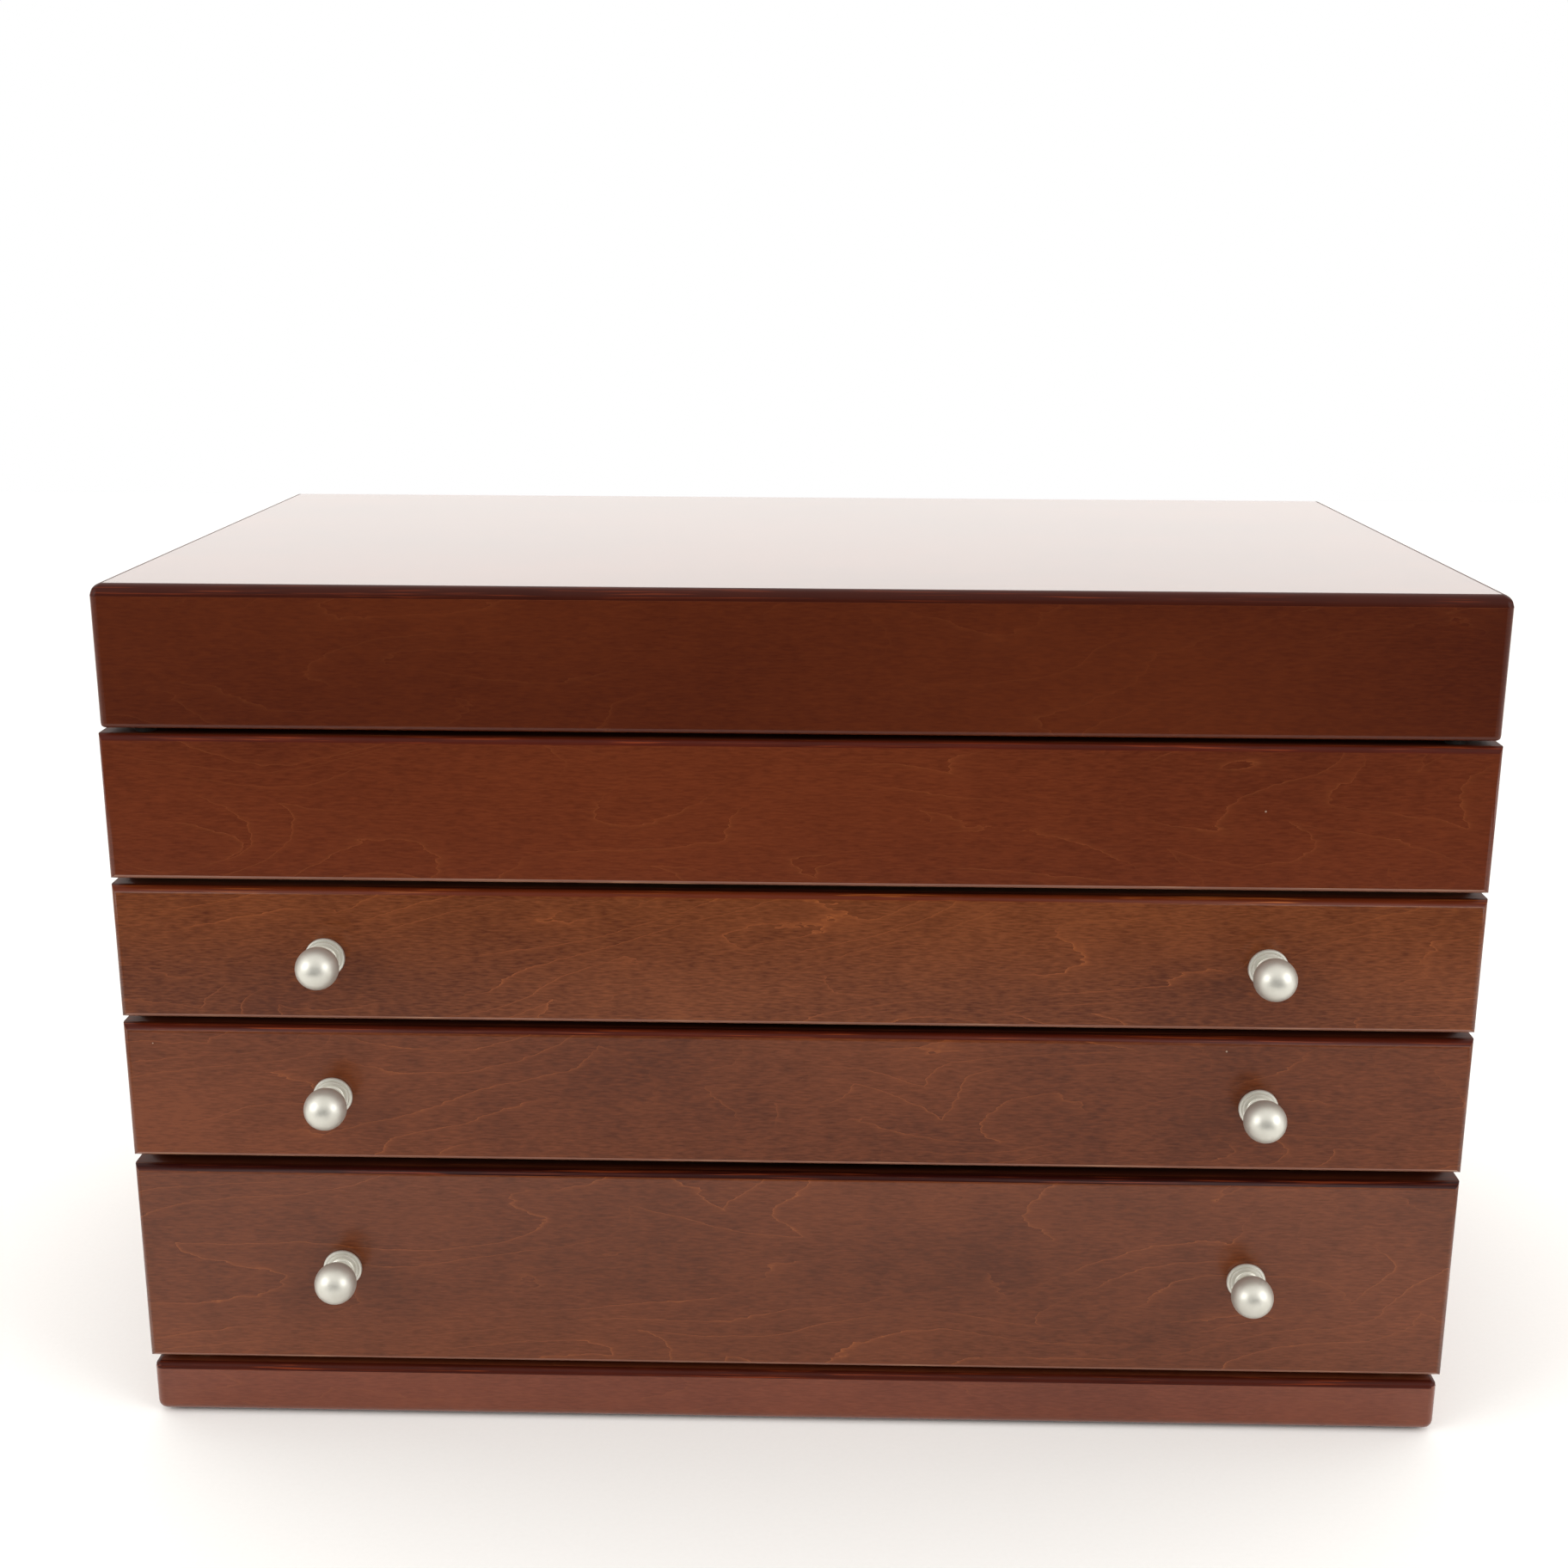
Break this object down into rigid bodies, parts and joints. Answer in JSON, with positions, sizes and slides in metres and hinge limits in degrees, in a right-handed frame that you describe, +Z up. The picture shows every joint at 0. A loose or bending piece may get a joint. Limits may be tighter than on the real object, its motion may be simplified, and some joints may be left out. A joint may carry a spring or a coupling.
{
  "type": "jewellery chest",
  "caption": "Table-top wooden jewellery chest with a hinged mirror lid over a lined top compartment with ring rolls, lined drawers with ball knobs, and a low base board.",
  "frame": {"origin": "middle of the footprint of the case, front faces to back, on the surface that the base felt rests on", "axes": "+X to the right along the fronts, +Y to the back, +Z up; the drawers open towards -Y"},
  "size_m": [0.4064, 0.2524, 0.2667],
  "materials": {
    "face_veneer": "stained, satin-gloss lacquer",
    "solid_edge_wood": "stained darker, satin-gloss lacquer",
    "inner_wood": "plain, unstained",
    "base_felt": "matt felt",
    "velvet": "short-pile velvet",
    "velvet_rolls": "short-pile velvet over foam",
    "mirror_glass": "silvered, bevelled",
    "satin_nickel": "satin nickel plate on turned metal",
    "hinge_nickel": "nickel-plated steel",
    "bumper_felt": "matt felt"
  },
  "bodies": {
    "case": {"base_board": "face_veneer", "base_felt": "base_felt", "left_side": "face_veneer", "right_side": "face_veneer", "back_panel": "face_veneer", "false_front": "face_veneer", "tray_floor": "inner_wood", "upper_dust_panel": "inner_wood", "lower_dust_panel": "inner_wood", "tray_lining": "velvet", "tray_dividers": "velvet", "ring_rolls": "velvet_rolls", "left_hinge_case_leaf": "hinge_nickel", "right_hinge_case_leaf": "hinge_nickel", "left_hinge_pin": "hinge_nickel", "right_hinge_pin": "hinge_nickel", "case_hinge_screws": "hinge_nickel"},
    "lid": {"lid_top": "solid_edge_wood", "lid_front_rail": "face_veneer", "lid_back_rail": "face_veneer", "lid_left_rail": "face_veneer", "lid_right_rail": "face_veneer", "lid_lining": "velvet", "mirror": "mirror_glass", "mirror_frame": "velvet", "lid_bumpers": "bumper_felt", "left_hinge_lid_leaf": "hinge_nickel", "right_hinge_lid_leaf": "hinge_nickel", "lid_hinge_screws": "hinge_nickel"},
    "upper_drawer": {"upper_front": "face_veneer", "upper_left_side": "inner_wood", "upper_right_side": "inner_wood", "upper_back": "inner_wood", "upper_bottom": "inner_wood", "upper_lining": "velvet", "upper_dividers": "velvet", "upper_left_knob": "satin_nickel", "upper_right_knob": "satin_nickel", "upper_knob_screws": "satin_nickel"},
    "middle_drawer": {"middle_front": "face_veneer", "middle_left_side": "inner_wood", "middle_right_side": "inner_wood", "middle_back": "inner_wood", "middle_bottom": "inner_wood", "middle_lining": "velvet", "middle_dividers": "velvet", "middle_left_knob": "satin_nickel", "middle_right_knob": "satin_nickel", "middle_knob_screws": "satin_nickel"},
    "lower_drawer": {"lower_front": "face_veneer", "lower_left_side": "inner_wood", "lower_right_side": "inner_wood", "lower_back": "inner_wood", "lower_bottom": "inner_wood", "lower_lining": "velvet", "lower_left_knob": "satin_nickel", "lower_right_knob": "satin_nickel", "lower_knob_screws": "satin_nickel"}
  },
  "joints": [
    {"name": "lid_hinge", "type": "hinge", "parent": "case", "child": "lid", "pos_m": [0, 0.11665, 0.22375], "axis": [-1, 0, 0], "range_deg": [0, 95]},
    {"name": "upper_drawer_slide", "type": "slide", "parent": "case", "child": "upper_drawer", "axis": [0, -1, 0], "range_m": [0, 0.17]},
    {"name": "middle_drawer_slide", "type": "slide", "parent": "case", "child": "middle_drawer", "axis": [0, -1, 0], "range_m": [0, 0.17]},
    {"name": "lower_drawer_slide", "type": "slide", "parent": "case", "child": "lower_drawer", "axis": [0, -1, 0], "range_m": [0, 0.17]}
  ]
}
